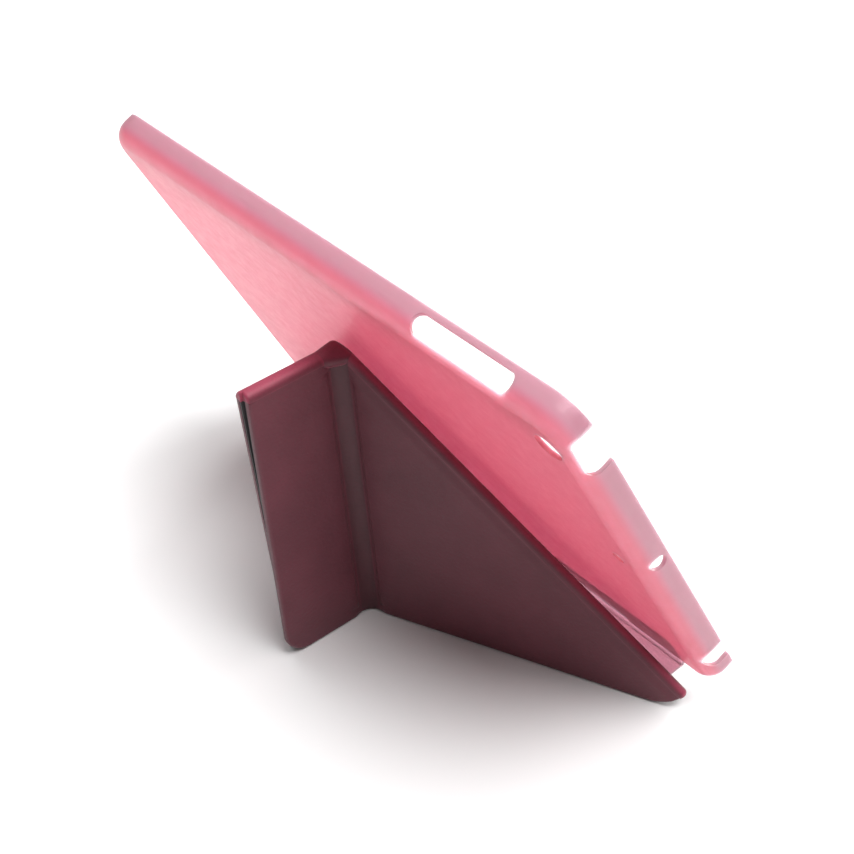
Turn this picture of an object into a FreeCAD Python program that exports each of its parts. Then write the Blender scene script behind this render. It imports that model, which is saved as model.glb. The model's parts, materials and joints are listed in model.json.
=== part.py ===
import FreeCAD, Part
import math
import os

# A folding tablet case standing as a desk stand. A thin plastic tray clips on the tablet's back. A leather
# cover hangs from one long side of the tray, is turned round behind it and creased into a Y-shaped stand:
# a leaning triangle under the tray, two upright wings from its sides to the middle line, and two fins
# that close against each other behind. Millimetres, +Z up, the floor at z = 0, X along the tray's long
# side, the screen side towards -Y. The origin is the middle of the footprint, on the floor.

# Tray, in its own frame: x along the long side, y up the back from the hinge side, z towards the screen.
tray_length = 203.0
tray_width = 137.5
tray_depth = 9.0
tray_wall = 1.3
plan_radius = 10.0
wall_radius = 6.0
hinge_land = 3.0
relief_depth = 3.0
relief_end = 33.5
tray_lean = 65.5

# Cover, laid flat: x along the hinge, y away from the hinge, z out of its leather side.
cover_length = 200.0
cover_width = 137.5
cover_corner = 8.0
hinge_corner = 16.0
apex_distance = 109.0
skin_thickness = 0.7
board_thickness = 1.2
lining_thickness = 0.5
board_margin = 3.0
lining_margin = 0.8
crease_gap = 0.3
fin_gap = 0.8
fin_top_gap = 0.6
base_start = 2.8

# Hinge strip between the tray and the cover, and the tab that holds it in the tray.
strip_lining = 0.4
strip_board = 0.6
strip_skin = 0.6
strip_end_gap = 1.5
strip_tray_half = 88.8
strip_cover_half = 85.5
strip_border = 2.0
tab_start = 1.6
tab_end = 14.0
tab_thickness = 0.8
tray_hinge_y = 0.6
tray_hinge_z = 0.9
cover_hinge_y = -4.6
cover_hinge_z = -7.4

# Openings of the tray. Distances along a side start at the corner that has the camera hole.
slot_low = 1.4
slot_high = 7.0
volume_start = 19.7
volume_end = 56.8
notch_start = 114.6
notch_end = 129.7
notch_floor = 1.9
notch_radius = 2.5
jack_height = 12.0
jack_radius = 4.0
jack_level = 5.6
edge_mic_height = 68.2
edge_mic_level = 5.2
edge_mic_radius = 2.5
camera_inset = 9.5
camera_height = 124.0
camera_radius = 4.4
rear_mic_inset = 10.0
rear_mic_height = 68.6
rear_mic_radius = 2.0
connector_half = 9.0
speaker_half = 12.0
speaker_offset = 31.0

# Magnets that hold the two fins together.
magnet_length = 20.0
magnet_width = 6.0
magnet_slack = 0.2
magnet_edge = 10.0
magnet_from_floor = 30.0
magnet_spacing = 44.0

# Worked out from the above.
panel = skin_thickness + board_thickness + lining_thickness
strip = strip_skin + strip_board + strip_lining
half = cover_length / 2
depth = math.sqrt(apex_distance ** 2 - half ** 2)
cos_base = depth / apex_distance
sin_base = half / apex_distance
base_angle = math.degrees(math.acos(cos_base))
wing_fold = math.degrees(math.acos(-sin_base ** 2))
fin_fold = math.degrees(math.acos(cos_base))
fin_setback = (fin_gap / 2 + (1 - cos_base) * panel) / sin_base
fin_crease = apex_distance - fin_setback
camera_side = -tray_length / 2
beyond = cover_length
tiny = 0.01


def vec(x, y, z):
    return FreeCAD.Vector(x, y, z)


def turned(centre, axis, degrees):
    return FreeCAD.Placement(vec(0, 0, 0), FreeCAD.Rotation(axis, degrees), centre)


def box(x_low, x_high, y_low, y_high, z_low, z_high):
    return Part.makeBox(x_high - x_low, y_high - y_low, z_high - z_low, vec(x_low, y_low, z_low))


def prism(points, low, high):
    corners = [vec(x, y, low) for x, y in points]
    wire = Part.makePolygon(corners + corners[:1])
    return Part.Face(wire).extrude(vec(0, 0, high - low))


def rounded_box(x_low, x_high, y_low, y_high, z_low, z_high, radius, axis):
    block = box(x_low, x_high, y_low, y_high, z_low, z_high)
    along = [e for e in block.Edges if abs(e.tangentAt(e.FirstParameter).dot(axis)) > 0.99]
    return block.makeFillet(radius, along)


# ---- places of the bodies, before the footprint is centred ----

def tray_place():
    lean = FreeCAD.Placement(vec(0, 0, 0), FreeCAD.Rotation(vec(1, 0, 0), tray_lean))
    hinge = lean.multVec(vec(0, cover_hinge_y, cover_hinge_z))
    return FreeCAD.Placement(vec(0, -hinge.y, -hinge.z), lean.Rotation)


def strip_place():
    start = tray_place().multVec(vec(0, tray_hinge_y, tray_hinge_z))
    fall = math.degrees(math.atan2(-start.z, -start.y))
    return FreeCAD.Placement(start, FreeCAD.Rotation(vec(1, 0, 0), fall))


def strip_reach():
    return math.hypot(tray_hinge_y - cover_hinge_y, tray_hinge_z - cover_hinge_z)


def base_place():
    return turned(vec(0, 0, 0), vec(1, 0, 0), base_angle)


def wing_place():
    crease = vec(half, apex_distance, 0)
    return base_place().multiply(turned(vec(-half, 0, 0), crease, -wing_fold))


def fin_place():
    return wing_place().multiply(turned(vec(0, fin_crease, panel), vec(1, 0, 0), fin_fold))


def footprint_middle():
    front = tray_place().multVec(vec(0, hinge_land, tray_depth)).y
    rear = fin_place().multVec(vec(0, cover_width, 0)).y
    return (front + rear) / 2


# ---- tray ----

def tray_hull(inset, low, high):
    # The hinge side runs on past the cut, so that both short walls end square there.
    side = tray_length / 2 - inset
    top = tray_width - inset
    block = rounded_box(-side, side, -tray_width, top, low, high, plan_radius - inset, vec(0, 0, 1))
    rim = [e for e in block.Edges if max(v.Z for v in e.Vertexes) < low + tiny]
    return block.makeFillet(wall_radius - inset, rim)


def back_shell():
    shell = tray_hull(0, 0, tray_depth)
    shell = shell.cut(tray_hull(tray_wall, tray_wall, 2 * tray_depth))
    shell = shell.cut(box(-beyond, beyond, -beyond, hinge_land, -beyond, beyond))
    relief = tray_length / 2 - relief_end
    shell = shell.cut(box(-relief, relief, 0, hinge_land + relief_depth, -tray_wall, 2 * tray_wall))
    shell = shell.cut(hinge_tab())
    for opening in long_side_openings() + short_side_openings() + back_openings():
        shell = shell.cut(opening)
    return shell


def slot_in_far_side(centre, reach):
    radius = (slot_high - slot_low) / 2 - tiny
    outside = tray_length / 2 + tray_wall
    inside = tray_length / 2 - wall_radius
    low = centre - reach
    high = centre + reach
    return rounded_box(inside, outside, low, high, slot_low, slot_high, radius, vec(1, 0, 0))


def long_side_openings():
    low = camera_side + volume_start
    high = camera_side + volume_end
    inside = tray_width - wall_radius
    outside = tray_width + tray_wall
    radius = (slot_high - slot_low) / 2 - tiny
    return [rounded_box(low, high, inside, outside, slot_low, slot_high, radius, vec(0, 1, 0))]


def short_side_openings():
    outside = camera_side - tray_wall
    inside = camera_side + wall_radius
    over = tray_depth + wall_radius
    across = vec(1, 0, 0)
    power = rounded_box(outside, inside, notch_start, notch_end, notch_floor, over, notch_radius, across)
    jack_low = jack_height - jack_radius
    jack_high = jack_height + jack_radius
    jack_floor = jack_level - jack_radius
    jack_round = jack_radius - tiny
    jack = rounded_box(outside, inside, jack_low, jack_high, jack_floor, over, jack_round, across)
    mic_start = vec(outside, edge_mic_height, edge_mic_level)
    mic = Part.makeCylinder(edge_mic_radius, wall_radius + tray_wall, mic_start, across)
    middle = tray_width / 2
    openings = [power, jack, mic, slot_in_far_side(middle, connector_half)]
    for side in (-1, 1):
        openings.append(slot_in_far_side(middle + side * speaker_offset, speaker_half))
    return openings


def back_openings():
    under = -tray_wall
    camera_at = vec(camera_side + camera_inset, camera_height, under)
    mic_at = vec(camera_side + rear_mic_inset, rear_mic_height, under)
    camera = Part.makeCylinder(camera_radius, 4 * tray_wall, camera_at, vec(0, 0, 1))
    mic = Part.makeCylinder(rear_mic_radius, 4 * tray_wall, mic_at, vec(0, 0, 1))
    return [camera, mic]


def hinge_tab():
    # The tab lies in a rebate of the tray's inner face, flush with it.
    low = tray_wall - tab_thickness
    return box(-strip_tray_half, strip_tray_half, tab_start, tab_end, low, tray_wall)


# ---- hinge strip ----

def strip_outline(border):
    start = strip_end_gap + border
    end = strip_reach() - strip_end_gap - border
    near = strip_tray_half - border
    away = strip_cover_half - border
    return [(-near, start), (near, start), (away, end), (-away, end)]


def strip_layers():
    low = -strip / 2
    lining_top = low + strip_lining
    board_top = lining_top + strip_board
    board = prism(strip_outline(strip_border), lining_top, board_top)
    skin = prism(strip_outline(0), lining_top, strip / 2).cut(board)
    lining = prism(strip_outline(lining_margin), low, lining_top)
    return {"spine_skin": skin, "spine_board": board, "spine_lining": lining}


# ---- cover panels, laid flat ----

def cover_plate(inset, low, high):
    side = half - inset
    end = cover_width - inset
    plate = box(-side, side, inset, end, low, high)
    for radius, edge_y in ((hinge_corner, inset), (cover_corner, end)):
        upright = [e for e in plate.Edges if abs(e.tangentAt(e.FirstParameter).z) > 0.99]
        corners = [e for e in upright if abs(e.Vertexes[0].Y - edge_y) < tiny]
        plate = plate.makeFillet(radius - inset, corners)
    return plate


def base_outline(gap):
    start = base_start + gap
    crease = math.hypot(half, apex_distance)
    top = fin_crease - crease_gap - gap
    corner = half - (half * start + gap * crease) / apex_distance
    apex = half - (half * top + gap * crease) / apex_distance
    return [(-corner, start), (corner, start), (apex, top), (-apex, top)]


def wing_outline(gap):
    crease = math.hypot(half, apex_distance)
    outside = -half - wall_radius
    low = (gap * crease - apex_distance * wall_radius) / half
    top = fin_crease - gap
    inner = (half * top - gap * crease) / apex_distance - half
    return [(outside, low), (inner, top), (outside, top)]


def fin_outline(gap):
    outside = -half - wall_radius
    over = cover_width + wall_radius
    top = -fin_top_gap - gap
    start = fin_crease + gap
    return [(outside, start), (top, start), (top, over), (outside, over)]


def layers(outline, name, pockets):
    skin_low = lining_thickness
    board_top = skin_low + board_thickness
    board = cover_plate(board_margin, skin_low, board_top)
    board = board.common(prism(outline(board_margin), skin_low, board_top))
    skin = cover_plate(0, skin_low, panel).common(prism(outline(crease_gap), skin_low, panel)).cut(board)
    lining = cover_plate(lining_margin, 0, skin_low).common(prism(outline(lining_margin), 0, skin_low))
    for pocket in pockets:
        board = board.cut(pocket)
    return {name + "_skin": skin, name + "_board": board, name + "_lining": lining}


def magnet_bars(slack):
    bars = []
    edge = cover_width - magnet_edge + slack
    start = edge - magnet_width - 2 * slack
    for index in range(2):
        low = -half + magnet_from_floor + index * magnet_spacing - slack
        high = low + magnet_length + 2 * slack
        bars.append(box(low, high, start, edge, lining_thickness, lining_thickness + board_thickness))
    return bars


def mirrored(shape):
    return shape.mirror(vec(0, 0, 0), vec(1, 0, 0))


# ---- whole case ----

def placed(pieces, place):
    centred = FreeCAD.Placement(vec(0, -footprint_middle(), 0), FreeCAD.Rotation())
    result = {}
    for name, shape in pieces.items():
        moved = shape.copy()
        moved.Placement = centred.multiply(place)
        result[name] = moved
    return result


def near_and_far(pieces, place):
    result = {}
    for name, shape in placed(pieces, place).items():
        result["near_" + name] = shape
        result["far_" + name] = mirrored(shape)
    return result


def make_case():
    nodes = placed({"back_shell": back_shell(), "hinge_tab": hinge_tab()}, tray_place())
    nodes.update(placed(strip_layers(), strip_place()))
    nodes.update(placed(layers(base_outline, "base", []), base_place()))
    nodes.update(near_and_far(layers(wing_outline, "wing", []), wing_place()))
    fin = layers(fin_outline, "fin", magnet_bars(magnet_slack))
    fin["fin_magnets"] = Part.makeCompound(magnet_bars(0))
    nodes.update(near_and_far(fin, fin_place()))
    return nodes


os.makedirs("parts", exist_ok=True)
for node, shape in make_case().items():
    shape.exportStep("parts/" + node + ".step")

shift = vec(0, -footprint_middle(), 0)
tray = tray_place()
for label, point in (
    ("tray hinge", tray.multVec(vec(0, tray_hinge_y, tray_hinge_z)) + shift),
    ("cover hinge", shift),
    ("near crease", wing_place().multVec(vec(-half, 0, 0)) + shift),
    ("apex", base_place().multVec(vec(0, apex_distance, 0)) + shift),
    ("near fin crease", wing_place().multVec(vec(-half, fin_crease, panel)) + shift),
    ("tray inner face", tray.multVec(vec(0, tray_width / 2, tray_wall)) + shift),
):
    print(label, "at", round(point.x, 4), round(point.y, 4), round(point.z, 4))
print("wing fold", round(wing_fold, 4), "fin fold", round(fin_fold, 4))
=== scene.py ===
import json
import math

import bmesh
import bpy
from mathutils import Matrix, Vector
from mathutils.geometry import delaunay_2d_cdt


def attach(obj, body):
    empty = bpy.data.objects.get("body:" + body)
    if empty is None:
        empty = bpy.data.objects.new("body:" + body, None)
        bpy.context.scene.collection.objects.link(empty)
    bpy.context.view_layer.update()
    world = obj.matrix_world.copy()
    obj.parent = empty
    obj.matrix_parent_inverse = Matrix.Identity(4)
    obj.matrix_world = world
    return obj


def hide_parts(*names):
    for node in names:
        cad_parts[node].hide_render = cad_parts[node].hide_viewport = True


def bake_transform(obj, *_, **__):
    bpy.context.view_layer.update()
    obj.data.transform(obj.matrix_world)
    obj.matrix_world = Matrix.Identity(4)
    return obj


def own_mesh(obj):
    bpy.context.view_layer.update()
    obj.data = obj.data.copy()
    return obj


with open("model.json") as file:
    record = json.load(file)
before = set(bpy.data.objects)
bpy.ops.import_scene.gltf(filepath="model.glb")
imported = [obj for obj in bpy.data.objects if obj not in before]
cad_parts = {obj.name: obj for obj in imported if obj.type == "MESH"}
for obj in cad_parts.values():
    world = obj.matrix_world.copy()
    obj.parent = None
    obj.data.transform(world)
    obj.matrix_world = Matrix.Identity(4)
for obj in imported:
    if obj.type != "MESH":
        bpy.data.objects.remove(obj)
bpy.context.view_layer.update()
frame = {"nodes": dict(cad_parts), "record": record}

# A folding tablet case standing as a desk stand. Lengths in this file are metres, in the frame's axes.
# Every panel of the cover is drawn flat (x along the hinge, y away from it, z out of the leather) and put
# in its place by a matrix worked out from the frame's joints. The near side has the tray's camera hole.

MM = 0.001
record = frame["record"]
joints = {j["name"]: j for j in record["behaviour"]["joints"]}

# Meshing. Angles are in degrees.
SAME_POINT = 1e-7
BEYOND_ANY_EDGE = 1.0
CORNER_STEPS = 14
ROUND_ANGLES = (0, 18, 36, 54, 72)
RING_STEP = 2.5 * MM
GRID_STEP = 4.0 * MM
LOFT_ROWS = 24
LEATHER_SHARP = 50

# Tray.
TRAY_WIDTH = 137.5 * MM
TRAY_WALL = 1.3 * MM
TRAY_WELD = 0.002 * MM
TRAY_COPLANAR = 0.3
TRAY_BEVEL = 0.28 * MM
TRAY_BEVEL_STEPS = 3
TRAY_BEVEL_ANGLE = 40
TRAY_SHARP = 35

# Cover panels. The free edges are how far the top and the foot of each fin's edge stand in from the cover's.
COVER_HALF = 100.0 * MM
COVER_WIDTH = 137.5 * MM
COVER_CORNER = 8.0 * MM
HINGE_CORNER = 16.0 * MM
LINING = 0.55 * MM
LINING_INSET = 0.15 * MM
LINING_RINGS = [0, 1.0 * MM]
EDGE_ROUND = 0.9 * MM
GROOVE_DEPTH = 0.6 * MM
GROOVE_REACH = 3.2 * MM
VALLEY_FLAT = 2.9 * MM
VALLEY_RAMP = 1.3 * MM
CREASE_GAP = 0.3 * MM
FIN_TOP_ROUND = 2.6 * MM
BASE_START = 2.8 * MM
TIP_CUT = 1.2 * MM
BASE_TIP_CUT = 0.6 * MM
NEAR_FREE = (0.9 * MM, 0.1 * MM)
FAR_FREE = (0.0, 2.6 * MM)

# Leather along the creases: ridges, soft inner corners, and the fold over the fins.
RIDGE_START = 6.2 * MM
RIDGE_STOP = 5.0 * MM
RIDGE_STEPS = 24
RIDGE_FLAP = CREASE_GAP * 1.15
RIDGE_END_SHARE = 0.8
RIDGE_INSIDE = 0.1 * MM
BAND_REACH = 3.0 * MM
BAND_STOP = 3.6 * MM
BAND_STEPS = 16
TOP_RADIUS = 2.55 * MM
TOP_START = 4.5 * MM
TOP_STEPS = 14
TOP_TUCK = 0.3 * MM
TOP_SHOULDER = 0.5 * MM
# How soon the painted highlight on the bends of the leather comes in.
HIGHLIGHT_SOFTNESS = 0.6

# Leather gathered at the apex, the smoothed hull of six balls.
DOME_SHIFT = Vector((0, 0.6 * MM, -1.0 * MM))
DOME_BALL = 2.2 * MM
DOME_REACH = 5.0 * MM
DOME_RIDGE_PROUD = 0.1 * MM
DOME_TOP_PROUD = 0.08 * MM
DOME_VALLEY_BALL = 1.75 * MM
DOME_VALLEY_OUT = 0.6 * MM
DOME_VALLEY_DOWN = 0.4 * MM
DOME_VOXEL = 0.35 * MM
DOME_SMOOTHING = 10

# Hinge strip and its two bends. A pull is how far a bend runs on straight before it turns.
STRIP = 1.6 * MM
STRIP_GAP = 1.5 * MM
STRIP_DIP = 0.12 * MM
STRIP_TRAY_HALF = 88.8 * MM
STRIP_COVER_HALF = 85.5 * MM
STRIP_STEPS = 8
STRIP_ROWS = 60
TAB_EDGE = 1.6 * MM
TAB_LOW = 0.5 * MM
TAB_HIGH = 1.3 * MM
TRAY_BEND_STEPS = 12
TRAY_BEND_PULL = 1.0 * MM
TRAY_BEND_STRIP_PULL = 1.4 * MM
TRAY_BEND_TAB_PULL = 1.2 * MM
FLOOR_BEND_STEPS = 14
FLOOR_BEND_REACH = 4.6 * MM
FLOOR_BEND_PULL = 2.6 * MM
FLOOR_BEND_BASE_PULL = 2.9 * MM
FLOOR_BEND_STRIP_PULL = 1.4 * MM
FLOOR_BEND_FLARE = 3.0 * MM
FLOOR_CLEARANCE = 0.02 * MM


# ---------------------------------------------------------------- places

def columns(x, y, z, origin):
    m = Matrix((x, y, z)).transposed().to_4x4()
    m.translation = origin
    return m


def outward(place):
    return place.to_3x3() @ Vector((0, 0, 1))


def tray_matrix():
    mount = record["mounts"][0]
    out = Vector(mount["axis"]).normalized()
    along = Vector((1, 0, 0))
    up = out.cross(along)
    origin = Vector(mount["pos_m"]) - up * TRAY_WIDTH / 2 - out * TRAY_WALL
    return columns(along, up, out, origin)


def spine_matrix():
    start = Vector(joints["tray_hinge"]["pos_m"])
    end = Vector(joints["cover_hinge"]["pos_m"])
    along = Vector((1, 0, 0))
    down = (end - start).normalized()
    return columns(along, down, along.cross(down), start), (end - start).length


def cover_matrices():
    hinge = Vector(joints["cover_hinge"]["pos_m"])
    corner = Vector(joints["near_wing_fold"]["pos_m"])
    crease = Vector(joints["near_wing_fold"]["axis"]).normalized()
    apex = corner - crease * corner.x / crease.x
    along = Vector((1, 0, 0))
    up = (apex - hinge).normalized()
    base = columns(along, up, along.cross(up), hinge)
    rise = Vector((0, 0, 1))
    foot = Vector((0, apex.y, 0))
    side = (foot - corner).normalized()
    wing = columns(rise, side, rise.cross(side), corner + rise * COVER_HALF)
    fin_hinge = Vector(joints["near_fin_fold"]["pos_m"])
    fin_crease = (fin_hinge - corner).dot(side)
    panel = (fin_hinge - corner).dot(rise.cross(side))
    back = Vector((0, 1, 0))
    out = Vector((-1, 0, 0))
    origin = fin_hinge + rise * COVER_HALF - back * fin_crease - out * panel
    fin = columns(rise, back, out, origin)
    return base, wing, fin, (apex - hinge).length, fin_crease, panel


TRAY = tray_matrix()
SPINE, SPINE_REACH = spine_matrix()
BASE, WING, FIN, APEX, FIN_CREASE, PANEL = cover_matrices()
MIRROR = Matrix.Diagonal((-1, 1, 1, 1))
CREASE_LENGTH = math.hypot(COVER_HALF, APEX)
FIN_MIDDLE = abs((FIN @ Vector((0, 0, 0))).x)
FIN_HINGE_Y = joints["near_fin_fold"]["pos_m"][1]


# ---------------------------------------------------------------- mesh helpers

def new_object(name, verts, faces):
    mesh = bpy.data.meshes.new(name)
    mesh.from_pydata([tuple(v) for v in verts], [], faces)
    mesh.validate()
    bm = bmesh.new()
    bm.from_mesh(mesh)
    bmesh.ops.remove_doubles(bm, verts=bm.verts, dist=SAME_POINT)
    bmesh.ops.recalc_face_normals(bm, faces=bm.faces)
    bm.to_mesh(mesh)
    bm.free()
    for p in mesh.polygons:
        p.use_smooth = True
    obj = bpy.data.objects.new(name, mesh)
    bpy.context.scene.collection.objects.link(obj)
    return obj


def sharpen(obj, degrees):
    obj.data.set_sharp_from_angle(angle=math.radians(degrees))
    return obj


def placed(obj, matrix):
    obj.data.transform(matrix)
    if matrix.determinant() < 0:
        obj.data.flip_normals()
    obj.data.update()
    return obj


def far_twin(obj, name):
    twin = bpy.data.objects.new(name, obj.data.copy())
    bpy.context.scene.collection.objects.link(twin)
    return placed(twin, MIRROR)


def baked(obj):
    """The object with its modifiers applied."""
    graph = bpy.context.evaluated_depsgraph_get()
    mesh = bpy.data.meshes.new_from_object(obj.evaluated_get(graph))
    obj.modifiers.clear()
    obj.data = mesh
    return obj


def arc(centre, radius, start, end, steps):
    points = []
    for i in range(steps + 1):
        a = start + (end - start) * i / steps
        points.append((centre[0] + radius * math.cos(a), centre[1] + radius * math.sin(a)))
    return points


def bezier(a, b, c, d, steps):
    points = []
    for i in range(steps + 1):
        t = i / steps
        s = 1 - t
        points.append(a * s ** 3 + b * 3 * s * s * t + c * 3 * s * t * t + d * t ** 3)
    return points


def smoothstep(t):
    t = min(1.0, max(0.0, t))
    return t * t * (3 - 2 * t)


# ---------------------------------------------------------------- flat panels

def cover_outline(inset):
    quarter = math.pi / 2
    points = []
    corners = ((1, 1), (-1, 1), (-1, -1), (1, -1))
    for turn, (across, away) in enumerate(corners):
        radius = COVER_CORNER if away > 0 else HINGE_CORNER
        x = across * (COVER_HALF - radius)
        y = COVER_WIDTH - radius if away > 0 else radius
        points += arc((x, y), radius - inset, turn * quarter, (turn + 1) * quarter, CORNER_STEPS)
    return points


def clip(points, origin, normal):
    """The part of a closed outline on the side of a line that the normal points to."""
    kept = []
    count = len(points)
    for i in range(count):
        a, b = points[i], points[(i + 1) % count]
        da = (a[0] - origin[0]) * normal[0] + (a[1] - origin[1]) * normal[1]
        db = (b[0] - origin[0]) * normal[0] + (b[1] - origin[1]) * normal[1]
        if da >= 0:
            kept.append(a)
        if da * db < 0:
            t = da / (da - db)
            kept.append((a[0] + (b[0] - a[0]) * t, a[1] + (b[1] - a[1]) * t))
    return kept


def subdivided(points, step):
    result = []
    for i, a in enumerate(points):
        b = points[(i + 1) % len(points)]
        length = math.dist(a, b)
        if length < SAME_POINT:
            continue
        pieces = max(1, math.ceil(length / step))
        for k in range(pieces):
            t = k / pieces
            result.append((a[0] + (b[0] - a[0]) * t, a[1] + (b[1] - a[1]) * t))
    return result


class Region:
    """A flat panel: the cover's outline cut by lines, each (point, inward normal, kind)."""

    def __init__(self, lines):
        self.lines = lines

    def ring(self, depth, step):
        points = cover_outline(depth)
        for origin, normal, _ in self.lines:
            moved = (origin[0] + normal[0] * depth, origin[1] + normal[1] * depth)
            points = clip(points, moved, normal)
        return subdivided(points, step)

    def line_depths(self, p):
        """How far inside the nearest line of each kind a point is."""
        found = {}
        for origin, normal, kind in self.lines:
            d = (p[0] - origin[0]) * normal[0] + (p[1] - origin[1]) * normal[1]
            found[kind] = min(found.get(kind, BEYOND_ANY_EDGE), d)
        return found

    def edge_depth(self, p):
        """How far inside the cover's own edge a point is."""
        radius = COVER_CORNER if p[1] > COVER_WIDTH / 2 else HINGE_CORNER
        dx = abs(p[0]) - (COVER_HALF - radius)
        dy = max(radius - p[1], p[1] - (COVER_WIDTH - radius))
        round_depth = radius - (math.hypot(dx, dy) if dx > 0 and dy > 0 else max(dx, dy))
        return min(round_depth, self.line_depths(p).get("edge", BEYOND_ANY_EDGE))


def crease_line(side, towards_wing):
    """The crease from a hinge corner to the apex. Side -1 is the near side."""
    nx = APEX / CREASE_LENGTH
    ny = COVER_HALF / CREASE_LENGTH
    normal = (side * nx, ny) if towards_wing else (-side * nx, -ny)
    start = (side * COVER_HALF, 0)
    moved = (start[0] + normal[0] * CREASE_GAP, start[1] + normal[1] * CREASE_GAP)
    return (moved, normal, "crease")


def base_region():
    start = ((0, BASE_START), (0, 1), "crease")
    top = ((0, FIN_CREASE - BASE_TIP_CUT), (0, -1), "crease")
    return Region([crease_line(-1, False), crease_line(1, False), start, top])


def wing_region():
    top = ((0, FIN_CREASE - CREASE_GAP), (0, -1), "valley")
    tip = ((-TIP_CUT, 0), (-1, 0), "crease")
    return Region([crease_line(-1, True), top, tip])


def fin_region(top_inset, foot_inset):
    start = ((0, FIN_CREASE + CREASE_GAP), (0, 1), "valley")
    top = ((-FIN_TOP_ROUND, 0), (-1, 0), "fold")
    slope = Vector((foot_inset - top_inset, -COVER_HALF)).normalized()
    free = ((0, COVER_WIDTH - top_inset), tuple(slope), "edge")
    return Region([start, top, free])


def skin_height(region, p):
    """Height of the leather: a groove beside each crease, a wider one at a valley, a rounded outer edge."""
    height = PANEL
    depths = region.line_depths(p)
    if "crease" in depths:
        height -= GROOVE_DEPTH * (1 - smoothstep(depths["crease"] / GROOVE_REACH))
    if "valley" in depths:
        height -= GROOVE_DEPTH * (1 - smoothstep((depths["valley"] - VALLEY_FLAT) / VALLEY_RAMP))
    height = max(height, PANEL - GROOVE_DEPTH)
    edge = max(0.0, region.edge_depth(p))
    if edge < EDGE_ROUND:
        height -= EDGE_ROUND - math.sqrt(EDGE_ROUND ** 2 - (EDGE_ROUND - edge) ** 2)
    return height


def grid_points(region, outline, inner):
    """Points of a square grid that lie well inside the innermost ring."""
    xs = [p[0] for p in outline]
    ys = [p[1] for p in outline]
    points = []
    x = min(xs)
    while x < max(xs):
        y = min(ys)
        while y < max(ys):
            lines = region.line_depths((x, y))
            if min([region.edge_depth((x, y))] + list(lines.values())) > inner + GRID_STEP / 2:
                points.append(Vector((x, y)))
            y += GRID_STEP
        x += GRID_STEP
    return points


def ring_edges(rings):
    edges = []
    first = 0
    for ring in rings:
        size = len(ring)
        edges += [(first + i, first + (i + 1) % size) for i in range(size)]
        first += size
    return edges


def plate(name, region, top, bottom, depths, inset):
    """A closed plate over the region between the height functions top and bottom."""
    rings = [region.ring(inset + d, RING_STEP) for d in depths]
    points = [Vector(p) for ring in rings for p in ring]
    points += grid_points(region, rings[0], inset + depths[-1])
    flat, _, faces, origins, _, _ = delaunay_2d_cdt(points, ring_edges(rings), [], 1, SAME_POINT)
    loop = [i for i, o in enumerate(origins) if o and min(o) < len(rings[0])]
    loop.sort(key=lambda i: min(origins[i]))
    count = len(flat)
    verts = [(p.x, p.y, top((p.x, p.y))) for p in flat]
    verts += [(p.x, p.y, bottom((p.x, p.y))) for p in flat]
    shell = [list(f) for f in faces] + [[i + count for i in reversed(f)] for f in faces]
    for k, i in enumerate(loop):
        j = loop[(k + 1) % len(loop)]
        shell.append([i, j, j + count, i + count])
    return sharpen(new_object(name, verts, shell), LEATHER_SHARP)


EDGE_RINGS = [EDGE_ROUND * (1 - math.cos(math.radians(a))) for a in ROUND_ANGLES + (90,)]
SKIN_RINGS = EDGE_RINGS + [x * MM for x in (1.4, 1.9, 2.4, 2.9, 3.2, 3.55, 3.9, 4.2)]


def skin(name, region, place):
    def top(p):
        return skin_height(region, p)

    def bottom(p):
        return min(LINING, skin_height(region, p))

    return placed(plate(name, region, top, bottom, SKIN_RINGS, 0), place)


def lining(name, region, place):
    flat = plate(name, region, lambda p: LINING, lambda p: 0.0, LINING_RINGS, LINING_INSET)
    return placed(flat, place)


# ---------------------------------------------------------------- crease pieces

def lofted(name, rows):
    """A closed tube through rows of the same number of points, capped at both ends."""
    count = len(rows[0])
    verts = [p for row in rows for p in row]
    faces = [list(reversed(range(count)))]
    for r in range(len(rows) - 1):
        for i in range(count):
            j = (i + 1) % count
            faces.append([r * count + i, r * count + j, (r + 1) * count + j, (r + 1) * count + i])
    last = (len(rows) - 1) * count
    faces.append([last + i for i in range(count)])
    return sharpen(new_object(name, verts, faces), LEATHER_SHARP)


def round_end(radius):
    """(distance from the end, how far the surface has dropped) pairs for an end's rounded edge."""
    angles = [math.radians(a) for a in ROUND_ANGLES]
    return [(radius * (1 - math.cos(a)), radius * (1 - math.sin(a))) for a in angles]


def end_drops(length, low_round, high_round):
    """(distance along, how far the surface has dropped) pairs for a strip with rounded or plain ends."""
    rows = round_end(low_round) if low_round else []
    rows.append((low_round, 0.0))
    straight = length - low_round - high_round
    rows += [(low_round + straight * k / LOFT_ROWS, 0.0) for k in range(1, LOFT_ROWS)]
    rows.append((length - high_round, 0.0))
    if high_round:
        rows += [(length - t, drop) for t, drop in reversed(round_end(high_round))]
    return rows


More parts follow.
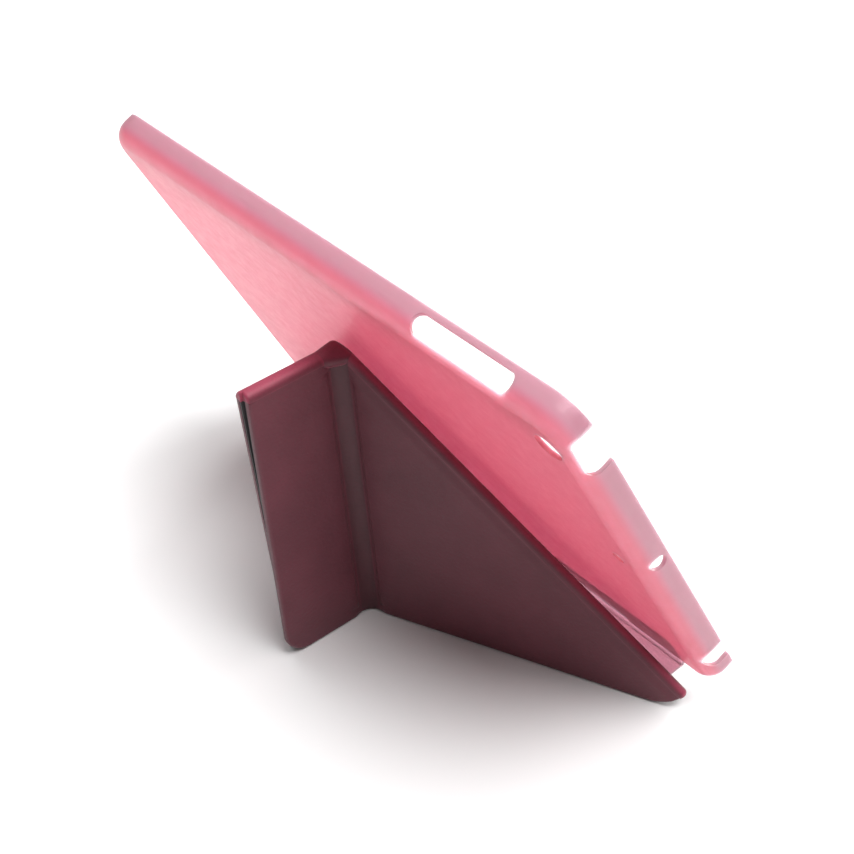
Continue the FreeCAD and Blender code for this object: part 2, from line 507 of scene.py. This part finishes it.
def ridge_strip(name):
    """Leather round the edge from the near corner to the apex, about the line where the linings meet."""
    corner = BASE @ Vector((-COVER_HALF, 0, 0))
    apex = BASE @ Vector((0, APEX, 0))
    along = (apex - corner).normalized()
    base_out = outward(BASE)
    wing_out = outward(WING)
    turn = base_out.angle(wing_out)
    if base_out.cross(wing_out).dot(along) < 0:
        turn = -turn
    base_in = base_out.cross(along)
    if base_in.x <= 0:
        base_in = -base_in
    wing_in = wing_out.cross(along)
    if wing_in.z >= 0:
        wing_in = -wing_in
    radius = PANEL - GROOVE_DEPTH
    start = corner + along * RIDGE_START
    length = (apex - corner).length - RIDGE_START - RIDGE_STOP
    rows = []
    for t, drop in end_drops(length, radius * RIDGE_END_SHARE, 0.0):
        centre = start + along * t
        row = [centre + base_in * RIDGE_FLAP + base_out * (radius - drop)]
        for i in range(RIDGE_STEPS + 1):
            out = Matrix.Rotation(turn * i / RIDGE_STEPS, 3, along) @ base_out
            row.append(centre + out * (radius - drop))
        row.append(centre + wing_in * RIDGE_FLAP + wing_out * (radius - drop))
        row.append(centre + wing_in * RIDGE_FLAP + wing_out * RIDGE_INSIDE)
        row.append(centre + base_in * RIDGE_FLAP + base_out * RIDGE_INSIDE)
        rows.append(row)
    return lofted(name, rows), corner + base_out * radius, corner + wing_out * radius


def back_crease(name):
    """Soft concave leather between the near wing and the near fin, about the line where their faces meet."""
    hinge = Vector(joints["near_fin_fold"]["pos_m"])
    wing_out = outward(WING)
    fin_out = outward(FIN)
    wing_in = -(WING.to_3x3() @ Vector((0, 1, 0)))
    fin_in = FIN.to_3x3() @ Vector((0, 1, 0))
    fold = wing_out.angle(fin_out)
    rise = Vector((0, 0, 1))
    sign = 1 if wing_out.cross(fin_out).dot(rise) > 0 else -1
    radius = BAND_REACH / math.tan(fold / 2)
    bisector = (wing_out + fin_out).normalized()
    dipped = hinge - bisector * GROOVE_DEPTH / math.cos(fold / 2)
    centre = dipped + bisector * radius / math.cos(fold / 2)
    rows = []
    for t, drop in end_drops(COVER_HALF - BAND_STOP, EDGE_ROUND, 0.0):
        row = []
        for i in range(BAND_STEPS + 1):
            out = Matrix.Rotation(sign * fold * i / BAND_STEPS, 3, rise) @ wing_out
            row.append(centre - out * (radius + drop) + rise * t)
        for i in range(BAND_STEPS + 1):
            out = Matrix.Rotation(sign * fold * (1 - i / BAND_STEPS), 3, rise) @ wing_out
            row.append(hinge - out * PANEL + rise * t)
        rows.append(row)
    return lofted(name, rows), dipped + wing_in * BAND_REACH, dipped + fin_in * BAND_REACH


def top_fold(name, free_inset):
    """The near half of the leather that turns over the top of the two closed fins."""
    low = (FIN @ Vector((-FIN_TOP_ROUND, 0, 0))).z
    outer = PANEL + FIN_MIDDLE
    start = FIN_HINGE_Y + TOP_START
    stop = (FIN @ Vector((0, COVER_WIDTH - free_inset, 0))).y
    rows = []
    for t, drop in end_drops(stop - start, 0.0, EDGE_ROUND):
        row = []
        for i in range(TOP_STEPS + 1):
            a = math.pi / 2 * i / TOP_STEPS
            x = -(outer - drop) * math.cos(a)
            row.append(Vector((x, start + t, low + (TOP_RADIUS - drop) * math.sin(a))))
        row.append(Vector((0, start + t, low - TOP_TUCK)))
        row.append(Vector((-FIN_MIDDLE, start + t, low - TOP_TUCK)))
        row.append(Vector((-FIN_MIDDLE - TOP_SHOULDER, start + t, low)))
        rows.append(row)
    return lofted(name, rows)


def mirrored_point(p):
    return Vector((-p.x, p.y, p.z))


def dome_balls():
    """(centre, radius) of each ball: the apex, two on the ridges, one in the top fold, two in the corners."""
    apex = BASE @ Vector((0, APEX, 0))
    corner = BASE @ Vector((-COVER_HALF, 0, 0))
    toward_near = (corner - apex).normalized()
    ridge = PANEL - GROOVE_DEPTH + DOME_RIDGE_PROUD
    top = (FIN @ Vector((-FIN_TOP_ROUND, 0, 0))).z
    fold = Vector((0, FIN_HINGE_Y + TOP_START, top))
    valley = Vector((FIN_MIDDLE + DOME_VALLEY_OUT, FIN_HINGE_Y + DOME_VALLEY_OUT, top - DOME_VALLEY_DOWN))
    return ((apex + DOME_SHIFT, DOME_BALL),
            (apex + toward_near * DOME_REACH, ridge),
            (apex + mirrored_point(toward_near) * DOME_REACH, ridge),
            (fold, TOP_RADIUS + DOME_TOP_PROUD),
            (valley, DOME_VALLEY_BALL),
            (mirrored_point(valley), DOME_VALLEY_BALL))


def apex_dome(name):
    """The leather gathered at the top, where the ridges and the fold over the fins meet."""
    bm = bmesh.new()
    for centre, radius in dome_balls():
        bmesh.ops.create_icosphere(bm, subdivisions=3, radius=radius, matrix=Matrix.Translation(centre))
    hull = bmesh.ops.convex_hull(bm, input=bm.verts)
    spare = [g for g in hull["geom_interior"] + hull["geom_unused"] if isinstance(g, bmesh.types.BMVert)]
    bmesh.ops.delete(bm, geom=list(set(spare)), context="VERTS")
    mesh = bpy.data.meshes.new(name)
    bm.to_mesh(mesh)
    bm.free()
    obj = bpy.data.objects.new(name, mesh)
    bpy.context.scene.collection.objects.link(obj)
    remesh = obj.modifiers.new("remesh", "REMESH")
    remesh.mode = "VOXEL"
    remesh.voxel_size = DOME_VOXEL
    remesh.use_smooth_shade = True
    smooth = obj.modifiers.new("smooth", "SMOOTH")
    smooth.iterations = DOME_SMOOTHING
    return baked(obj)


# ---------------------------------------------------------------- hinge strip

def along_x(name, profile, half_at):
    """A closed strip along X: profile is points in the (y, z) plane, half_at(index) is each point's reach."""
    rows = []
    count = len(profile)
    for k in range(STRIP_ROWS + 1):
        s = 2 * k / STRIP_ROWS - 1
        rows.append([Vector((s * half_at(i), profile[i][0], profile[i][1])) for i in range(count)])
    return lofted(name, rows)


def spine_strip(name):
    half = STRIP / 2
    low, high = STRIP_GAP, SPINE_REACH - STRIP_GAP
    profile, reach = [], []
    for i in range(STRIP_STEPS + 1):
        y = low + (high - low) * i / STRIP_STEPS
        profile.append((y, half - STRIP_DIP * math.sin(math.pi * i / STRIP_STEPS)))
        reach.append(STRIP_TRAY_HALF + (STRIP_COVER_HALF - STRIP_TRAY_HALF) * i / STRIP_STEPS)
    for i in range(STRIP_STEPS + 1):
        y = high + (low - high) * i / STRIP_STEPS
        profile.append((y, -half))
        reach.append(STRIP_COVER_HALF + (STRIP_TRAY_HALF - STRIP_COVER_HALF) * i / STRIP_STEPS)
    obj = along_x(name, profile, lambda i: reach[i])
    return placed(obj, SPINE)


def in_section(matrix, y, z):
    """A point of a panel in the (y, z) plane through the middle of the object."""
    p = matrix @ Vector((0, y, z))
    return Vector((p.y, p.z))


def tray_crease(name):
    """The bend between the tab in the tray and the hinge strip."""
    half = STRIP / 2
    tab_low = in_section(TRAY, TAB_EDGE, TAB_LOW)
    tab_high = in_section(TRAY, TAB_EDGE, TAB_HIGH)
    inner = in_section(SPINE, STRIP_GAP, half)
    outer = in_section(SPINE, STRIP_GAP, -half)
    up = Vector((TRAY[1][1], TRAY[2][1]))
    down = Vector((SPINE[1][1], SPINE[2][1]))
    face = bezier(tab_low, tab_low - up * TRAY_BEND_PULL, inner - down * TRAY_BEND_PULL, inner,
                  TRAY_BEND_STEPS)
    back = bezier(outer, outer - down * TRAY_BEND_STRIP_PULL, tab_high - up * TRAY_BEND_TAB_PULL, tab_high,
                  TRAY_BEND_STEPS)
    obj = along_x(name, face + back, lambda i: STRIP_TRAY_HALF)
    start = Vector((0, *(tab_low + tab_high) / 2))
    end = Vector((0, *(inner + outer) / 2))
    return obj, start, end


def base_crease(name):
    """The bend at the floor between the hinge strip and the leaning panel."""
    half = STRIP / 2
    steps = FLOOR_BEND_STEPS
    spine_face = in_section(SPINE, SPINE_REACH - FLOOR_BEND_REACH, half)
    spine_end = in_section(SPINE, SPINE_REACH - STRIP_GAP, -half)
    base_face = in_section(BASE, FLOOR_BEND_REACH, PANEL)
    base_end = in_section(BASE, BASE_START, 0)
    down = Vector((SPINE[1][1], SPINE[2][1]))
    up = Vector((BASE[1][1], BASE[2][1]))
    face = bezier(spine_face, spine_face + down * FLOOR_BEND_PULL, base_face - up * FLOOR_BEND_PULL,
                  base_face, steps)
    under = bezier(base_end, base_end - up * FLOOR_BEND_BASE_PULL, spine_end + down * FLOOR_BEND_STRIP_PULL,
                   spine_end, steps)
    shares = [i / steps for i in range(steps + 1)] + [1 - i / steps for i in range(steps + 1)]
    obj = along_x(name, face + under, lambda i: STRIP_COVER_HALF + FLOOR_BEND_FLARE * shares[i] ** 2)
    for v in obj.data.vertices:
        v.co.z = max(v.co.z, FLOOR_CLEARANCE)
    return obj, Vector((0, *spine_face)), Vector((0, *base_face))


# ---------------------------------------------------------------- tray

def tray_shell(name):
    """The moulded back with its cut edges softened."""
    obj = bpy.data.objects.new(name, frame["nodes"]["back_shell"].data.copy())
    bpy.context.scene.collection.objects.link(obj)
    bm = bmesh.new()
    bm.from_mesh(obj.data)
    bmesh.ops.remove_doubles(bm, verts=bm.verts, dist=TRAY_WELD)
    bmesh.ops.dissolve_limit(bm, angle_limit=math.radians(TRAY_COPLANAR), verts=bm.verts, edges=bm.edges)
    bmesh.ops.recalc_face_normals(bm, faces=bm.faces)
    bm.to_mesh(obj.data)
    bm.free()
    bevel = obj.modifiers.new("bevel", "BEVEL")
    bevel.width = TRAY_BEVEL
    bevel.segments = TRAY_BEVEL_STEPS
    bevel.limit_method = "ANGLE"
    bevel.angle_limit = math.radians(TRAY_BEVEL_ANGLE)
    bevel.use_clamp_overlap = True
    baked(obj)
    for p in obj.data.polygons:
        p.use_smooth = True
    sharpen(obj, TRAY_SHARP)
    weighted = obj.modifiers.new("normals", "WEIGHTED_NORMAL")
    weighted.keep_sharp = True
    return obj


# ---------------------------------------------------------------- materials

def node(tree, kind, inputs=None, **settings):
    n = tree.nodes.new(kind)
    for key, value in settings.items():
        setattr(n, key, value)
    for key, value in (inputs or {}).items():
        if isinstance(value, bpy.types.NodeSocket):
            tree.links.new(value, n.inputs[key])
        else:
            n.inputs[key].default_value = value
    return n


def material(name, **values):
    m = bpy.data.materials.new(name)
    m.use_nodes = True
    shader = m.node_tree.nodes["Principled BSDF"]
    for key, value in values.items():
        shader.inputs[key.replace("_", " ")].default_value = value
    return m, m.node_tree, shader


def noise(tree, place, scale, detail=4.0, roughness=0.55):
    return node(tree, "ShaderNodeTexNoise",
                {"Vector": place, "Scale": scale, "Detail": detail, "Roughness": roughness})


def ramp(tree, value, stops):
    r = node(tree, "ShaderNodeValToRGB", {"Fac": value})
    r.color_ramp.elements[0].position, r.color_ramp.elements[0].color = stops[0]
    r.color_ramp.elements[1].position, r.color_ramp.elements[1].color = stops[-1]
    for position, colour in stops[1:-1]:
        r.color_ramp.elements.new(position).color = colour
    return r


def spread(tree, value, low, high):
    """The middle range of a noise mapped to low and high."""
    return node(tree, "ShaderNodeMapRange",
                {"Value": value, "From Min": 0.3, "From Max": 0.7, "To Min": low, "To Max": high})


def rgb(r, g, b):
    return (r, g, b, 1.0)


def leather(name, low, middle, high, grain, through=0.0, highlight_colour=None):
    """Leather in three shades, turned to a lighter given colour where the leather bends: a painted highlight
    on the rounded edges.

    Through is the share of light that goes into the leather and comes out elsewhere.
    """
    m, tree, shader = material(name, Sheen_Weight=0.12, Sheen_Roughness=0.5, Specular_IOR_Level=0.4,
                               Subsurface_Weight=through, Subsurface_Radius=(1.0, 0.6, 0.7),
                               Subsurface_Scale=0.015, Transmission_Weight=through * 0.6)
    place = node(tree, "ShaderNodeTexCoord").outputs["Object"]
    cloud = noise(tree, place, 45.0, 5.0)
    pores = node(tree, "ShaderNodeTexVoronoi", {"Vector": place, "Scale": grain}, feature="SMOOTH_F1")
    fine = noise(tree, place, grain * 2.2, 6.0)
    colour = ramp(tree, cloud.outputs["Fac"], [(0.3, low), (0.52, middle), (0.74, high)])
    # Painted highlight: the bends of the leather take the lighter colour, as if lit.
    highlight_share = node(tree, "ShaderNodeAttribute", attribute_name="painted_highlight")
    with_highlight = node(tree, "ShaderNodeMix", {0: highlight_share.outputs["Fac"], 6: colour.outputs["Color"],
                                         7: highlight_colour or middle}, data_type="RGBA")
    speck = spread(tree, fine.outputs["Fac"], 0.86, 1.1)
    tinted = node(tree, "ShaderNodeMix", {0: 1.0, 6: with_highlight.outputs[2], 7: speck.outputs["Result"]},
                  data_type="RGBA", blend_type="MULTIPLY")
    tree.links.new(tinted.outputs[2], shader.inputs["Base Color"])
    rough = spread(tree, fine.outputs["Fac"], 0.42, 0.62)
    tree.links.new(rough.outputs["Result"], shader.inputs["Roughness"])
    first = node(tree, "ShaderNodeBump", {"Height": pores.outputs["Distance"], "Strength": 0.25,
                                          "Distance": 0.0002})
    second = node(tree, "ShaderNodeBump", {"Height": fine.outputs["Fac"], "Strength": 0.35,
                                           "Distance": 0.00008, "Normal": first.outputs["Normal"]})
    tree.links.new(second.outputs["Normal"], shader.inputs["Normal"])
    return m


def height_in_tray(tree, place):
    """How far a point stands from the tray's back, towards its open side."""
    local = node(tree, "ShaderNodeVectorMath", {0: place}, operation="SUBTRACT")
    local.inputs[1].default_value = TRAY.translation
    depth = node(tree, "ShaderNodeVectorMath", {0: local.outputs["Vector"]}, operation="DOT_PRODUCT")
    depth.inputs[1].default_value = outward(TRAY)
    return depth.outputs["Value"]


def plastic(name):
    """Frosted pink plastic, paler and greyer on the walls than on the flat back: a painted reflection of the
    white light on the walls.
    """
    m, tree, shader = material(name, Subsurface_Weight=0.9, Subsurface_Radius=(1.0, 0.5, 0.6),
                               Subsurface_Scale=0.016, Specular_IOR_Level=0.6, Transmission_Weight=0.25,
                               Coat_Weight=0.3, Coat_Roughness=0.4)
    place = node(tree, "ShaderNodeTexCoord").outputs["Object"]
    height = height_in_tray(tree, place)
    cloud = noise(tree, place, 14.0, 3.0)
    frost = noise(tree, place, 2600.0, 3.0)
    scuffs = noise(tree, place, 240.0, 6.0, 0.7)
    flat_shades = [(0.3, rgb(0.39, 0.070, 0.089)), (0.7, rgb(0.43, 0.081, 0.102))]
    # Painted reflection: the walls get a paler, greyer pink for the white light they reflect.
    wall_reflection_shades = [(0.3, rgb(0.30, 0.165, 0.192)), (0.7, rgb(0.34, 0.190, 0.222))]
    flat = ramp(tree, cloud.outputs["Fac"], flat_shades)
    wall_with_reflection = ramp(tree, cloud.outputs["Fac"], wall_reflection_shades)
    share = node(tree, "ShaderNodeMapRange", {"Value": height, "From Min": 1.8 * MM, "From Max": 5.2 * MM},
                 interpolation_type="SMOOTHSTEP")
    mixed = node(tree, "ShaderNodeMix", {0: share.outputs["Result"], 6: flat.outputs["Color"],
                                         7: wall_with_reflection.outputs["Color"]}, data_type="RGBA")
    tree.links.new(mixed.outputs[2], shader.inputs["Base Color"])
    rough = spread(tree, scuffs.outputs["Fac"], 0.38, 0.52)
    tree.links.new(rough.outputs["Result"], shader.inputs["Roughness"])
    bump = node(tree, "ShaderNodeBump", {"Height": frost.outputs["Fac"], "Strength": 0.22,
                                         "Distance": 0.00005})
    tree.links.new(bump.outputs["Normal"], shader.inputs["Normal"])
    return m


def plain(name, low, high, scale, rough, metallic=0.0):
    """A fine grain in two shades."""
    m, tree, shader = material(name, Metallic=metallic)
    place = node(tree, "ShaderNodeTexCoord").outputs["Object"]
    grain = noise(tree, place, scale, 5.0)
    colour = ramp(tree, grain.outputs["Fac"], [(0.3, low), (0.7, high)])
    tree.links.new(colour.outputs["Color"], shader.inputs["Base Color"])
    change = spread(tree, grain.outputs["Fac"], rough - 0.08, rough + 0.08)
    tree.links.new(change.outputs["Result"], shader.inputs["Roughness"])
    bump = node(tree, "ShaderNodeBump", {"Height": grain.outputs["Fac"], "Strength": 0.3,
                                         "Distance": 0.00006})
    tree.links.new(bump.outputs["Normal"], shader.inputs["Normal"])
    return m


LEATHER_GRAIN = 900.0
LINING_GRAIN = 1800.0
# The last colour is the painted highlight for the bends of the leather.
LEATHER = leather("case_leather", rgb(0.104, 0.015, 0.028), rgb(0.122, 0.019, 0.034),
                  rgb(0.142, 0.024, 0.041), LEATHER_GRAIN, highlight_colour=rgb(0.33, 0.042, 0.083))
# Painted shade: a darker copy of the leather for the concave crease between wing and fin, where shade falls.
SHADED_VALLEY_LEATHER = leather("valley_leather", rgb(0.070, 0.014, 0.021), rgb(0.084, 0.017, 0.026),
                         rgb(0.10, 0.020, 0.031), LEATHER_GRAIN)
# Painted sheen: the hinge strip is the cover's leather, coloured a pale mauve for the light it catches; it
# also lets light through.
SHEEN_STRIP_LEATHER = leather("strip_leather", rgb(0.52, 0.22, 0.27), rgb(0.56, 0.25, 0.30),
                        rgb(0.60, 0.28, 0.33), LEATHER_GRAIN, through=0.9)
LININGS = leather("case_lining", rgb(0.035, 0.03, 0.032), rgb(0.045, 0.04, 0.042),
                  rgb(0.06, 0.052, 0.055), LINING_GRAIN)
PLASTIC = plastic("case_plastic")
BOARD = plain("case_board", rgb(0.32, 0.30, 0.27), rgb(0.42, 0.40, 0.36), 900.0, 0.8)
MAGNET = plain("case_magnet", rgb(0.50, 0.50, 0.51), rgb(0.60, 0.60, 0.61), 1500.0, 0.35, metallic=1.0)
FLOOR = plain("stage_floor", rgb(0.90, 0.90, 0.90), rgb(0.91, 0.91, 0.91), 3.0, 0.7)


# ---------------------------------------------------------------- making

def finish_piece(obj, mat, stands_for=()):
    obj.data.materials.clear()
    obj.data.materials.append(mat)
    if stands_for:
        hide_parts(*stands_for)
    return obj


def rider(obj, body, mat, slot_name, *stands_for):
    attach(finish_piece(obj, mat, stands_for), body)


def bender(obj, bodies, ends, mat):
    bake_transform(finish_piece(obj, mat), *bodies, start=tuple(ends[0]), end=tuple(ends[1]))


def painted_highlight(obj, *faces):
    """Marks where the leather bends, for the painted highlight on the rounded edges: faces are the ways that
    the flat leather beside it looks.
    """
    share = obj.data.attributes.new("painted_highlight", "FLOAT", "POINT")
    for v in obj.data.vertices:
        bend = 1 - max(v.normal.dot(out) for out in faces)
        share.data[v.index].value = smoothstep(bend / HIGHLIGHT_SOFTNESS)


def make_tray():
    rider(tray_shell("tray_back"), "tray", PLASTIC, "tray_plastic", "back_shell")


def make_cover():
    rider(skin("base_leather", base_region(), BASE), "base", LEATHER, "cover_leather", "base_skin")
    rider(lining("base_inside", base_region(), BASE), "base", LININGS, "cover_lining", "base_lining")
    panels = (("near_wing", wing_region(), WING),
              ("far_wing", wing_region(), MIRROR @ WING),
              ("near_fin", fin_region(*NEAR_FREE), FIN),
              ("far_fin", fin_region(*FAR_FREE), MIRROR @ FIN))
    for body, region, place in panels:
        rider(skin(body + "_leather", region, place), body, LEATHER, "cover_leather", body + "_skin")
        rider(lining(body + "_inside", region, place), body, LININGS, "cover_lining", body + "_lining")


def crease_pair(build, name, bodies, mat, faces=()):
    """A crease piece between two near bodies, and its mirror image between the far ones."""
    near, first, last = build("near_" + name)
    if faces:
        painted_highlight(near, *faces)
    far = far_twin(near, "far_" + name)
    near_bodies = [b.format("near") for b in bodies]
    far_bodies = [b.format("far") for b in bodies]
    bender(near, near_bodies, (first, last), mat)
    bender(far, far_bodies, (mirrored_point(first), mirrored_point(last)), mat)


def make_creases():
    base_out, wing_out, fin_out = outward(BASE), outward(WING), outward(FIN)
    crease_pair(ridge_strip, "ridge", ("base", "{}_wing"), LEATHER, (base_out, wing_out))
    crease_pair(back_crease, "back_crease", ("{}_wing", "{}_fin"), SHADED_VALLEY_LEATHER)
    near = top_fold("near_top_fold", NEAR_FREE[0])
    far = placed(top_fold("far_top_fold", FAR_FREE[0]), MIRROR)
    painted_highlight(near, fin_out)
    painted_highlight(far, mirrored_point(fin_out))
    rider(near, "near_fin", LEATHER, "cover_leather")
    rider(far, "far_fin", LEATHER, "cover_leather")
    dome = apex_dome("apex_fold")
    painted_highlight(dome, base_out, wing_out, fin_out, mirrored_point(wing_out), mirrored_point(fin_out))
    rider(dome, "base", LEATHER, "cover_leather")
    tuple(base_out)
    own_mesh(dome)


def make_hinge():
    obj, start, end = tray_crease("tray_bend")
    bender(obj, ("tray", "spine"), (start, end), SHEEN_STRIP_LEATHER)
    rider(spine_strip("spine_band"), "spine", SHEEN_STRIP_LEATHER, "cover_leather",
          "spine_skin", "spine_board", "spine_lining")
    obj, start, end = base_crease("floor_bend")
    bender(obj, ("spine", "base"), (start, end), SHEEN_STRIP_LEATHER)


def finish_cad():
    """Better materials on the CAD nodes that stay."""
    # The cover's leather left on the CAD nodes takes the strip's pale colour, with its painted sheen.
    looks = {"cover_leather": SHEEN_STRIP_LEATHER, "stiffener": BOARD, "magnet": MAGNET,
             "cover_lining": LININGS, "tray_plastic": PLASTIC}
    for obj in frame["nodes"].values():
        for s in obj.material_slots:
            name = s.material.name.split(".")[0] if s.material else ""
            if name in looks:
                s.material = looks[name]


# ---------------------------------------------------------------- camera, floor and light

CAMERA_PLACE = Vector((-0.31954, 0.21085, 0.36928))
CAMERA_AZIMUTH = 234.52
CAMERA_ELEVATION = 38.719
CAMERA_ROLL = 5.230
CAMERA_LENS = 70.603
FLOOR_HALF = 4.0
FLOOR_HEIGHT = -0.0001
WORLD_LIGHT = 0.16
WORLD_SEEN = 0.95


def make_camera():
    data = bpy.data.cameras.new("camera")
    camera = bpy.data.objects.new("camera", data)
    bpy.context.scene.collection.objects.link(camera)
    azimuth = math.radians(CAMERA_AZIMUTH)
    elevation = math.radians(CAMERA_ELEVATION)
    roll = math.radians(CAMERA_ROLL)
    level = math.cos(elevation)
    back = Vector((math.sin(azimuth) * level, -math.cos(azimuth) * level, math.sin(elevation)))
    right = Vector((0, 0, 1)).cross(back).normalized()
    up = back.cross(right)
    turned_right = right * math.cos(roll) - up * math.sin(roll)
    turned_up = back.cross(turned_right)
    camera.matrix_world = columns(turned_right, turned_up, back, CAMERA_PLACE)
    data.sensor_width = 36.0
    data.lens = CAMERA_LENS
    data.clip_start = 0.01
    data.clip_end = 20.0
    bpy.context.scene.camera = camera


def make_floor():
    corners = ((-1, -1), (1, -1), (1, 1), (-1, 1))
    verts = [Vector((x * FLOOR_HALF, y * FLOOR_HALF, FLOOR_HEIGHT)) for x, y in corners]
    floor = new_object("floor", verts, [[0, 1, 2, 3]])
    floor.data.materials.append(FLOOR)


def sun_light(name, place, strength, spread_degrees):
    data = bpy.data.lights.new(name, "SUN")
    data.energy = strength
    data.angle = math.radians(spread_degrees)
    light = bpy.data.objects.new(name, data)
    bpy.context.scene.collection.objects.link(light)
    light.rotation_euler = (-Vector(place)).to_track_quat("-Z", "Y").to_euler()


def area_light(name, place, aim, size, power):
    data = bpy.data.lights.new(name, "AREA")
    data.size = size
    data.energy = power
    light = bpy.data.objects.new(name, data)
    bpy.context.scene.collection.objects.link(light)
    light.location = place
    light.rotation_euler = (Vector(aim) - Vector(place)).to_track_quat("-Z", "Y").to_euler()


def make_world():
    """A white background that gives little light and looks pale to the camera."""
    world = bpy.data.worlds.new("world")
    world.use_nodes = True
    tree = world.node_tree
    background = tree.nodes["Background"]
    background.inputs["Color"].default_value = rgb(1, 1, 1)
    seen = node(tree, "ShaderNodeLightPath").outputs["Is Camera Ray"]
    strength = node(tree, "ShaderNodeMapRange", {"Value": seen, "To Min": WORLD_LIGHT, "To Max": WORLD_SEEN})
    tree.links.new(strength.outputs["Result"], background.inputs["Strength"])
    bpy.context.scene.world = world


def make_light():
    make_world()
    sun_light("key", place=(-0.42, -0.20, 1.15), strength=3.3, spread_degrees=34.0)
    area_light("top", place=(0.60, -0.1, 1.2), aim=(0, 0, 0.05), size=1.0, power=6.0)
    area_light("behind", place=(0.2, -1.0, 0.35), aim=(0, 0, 0.07), size=0.6, power=12.0)
    bpy.context.scene.view_settings.view_transform = "Standard"


make_tray()
make_cover()
make_creases()
make_hinge()
finish_cad()
make_camera()
make_floor()
make_light()
